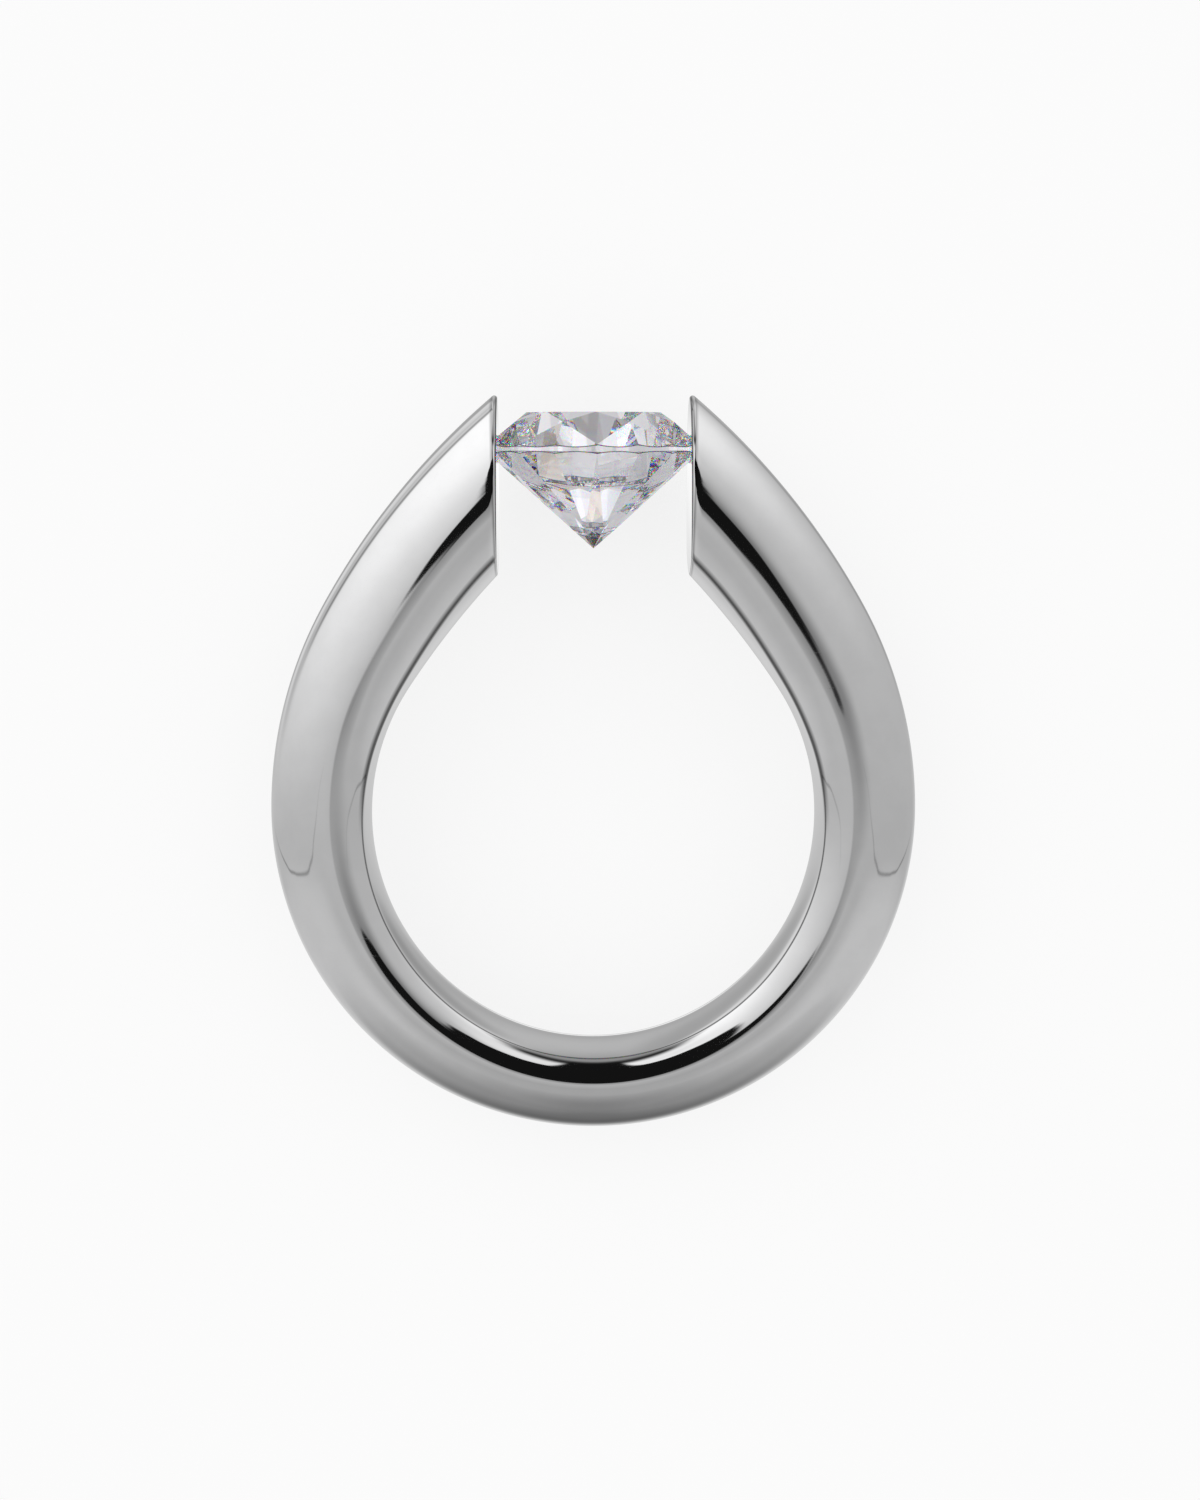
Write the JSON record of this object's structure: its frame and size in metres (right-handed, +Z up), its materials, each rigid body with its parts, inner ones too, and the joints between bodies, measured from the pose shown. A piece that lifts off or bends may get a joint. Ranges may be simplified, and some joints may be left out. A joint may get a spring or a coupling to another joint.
{
  "type": "tension set ring",
  "caption": "Finger ring with an open, domed band whose two flat ends grip a round brilliant stone by its girdle, lying on its side.",
  "frame": {"origin": "on the surface that the ring lies on, under the middle of the ring's length, which runs from the bottom of the band to the tips of its arms, and midway between the two end faces", "axes": "+Y from the bottom of the band towards the stone, as seen from above, +X from the left arm to the right arm, +Z up. The finger axis leans 3.6 degrees from +Z towards -Y, because the ring lies on the bottom of its band and on the stone, whose girdle stands out past the band's side"},
  "size_m": [0.0248, 0.0282, 0.008],
  "materials": {
    "band_metal": "mirror-polished white metal",
    "stone_crystal": "clear colourless cut crystal, polished facets"
  },
  "bodies": {
    "root": {"band": "band_metal", "stone": "stone_crystal"}
  },
  "joints": []
}
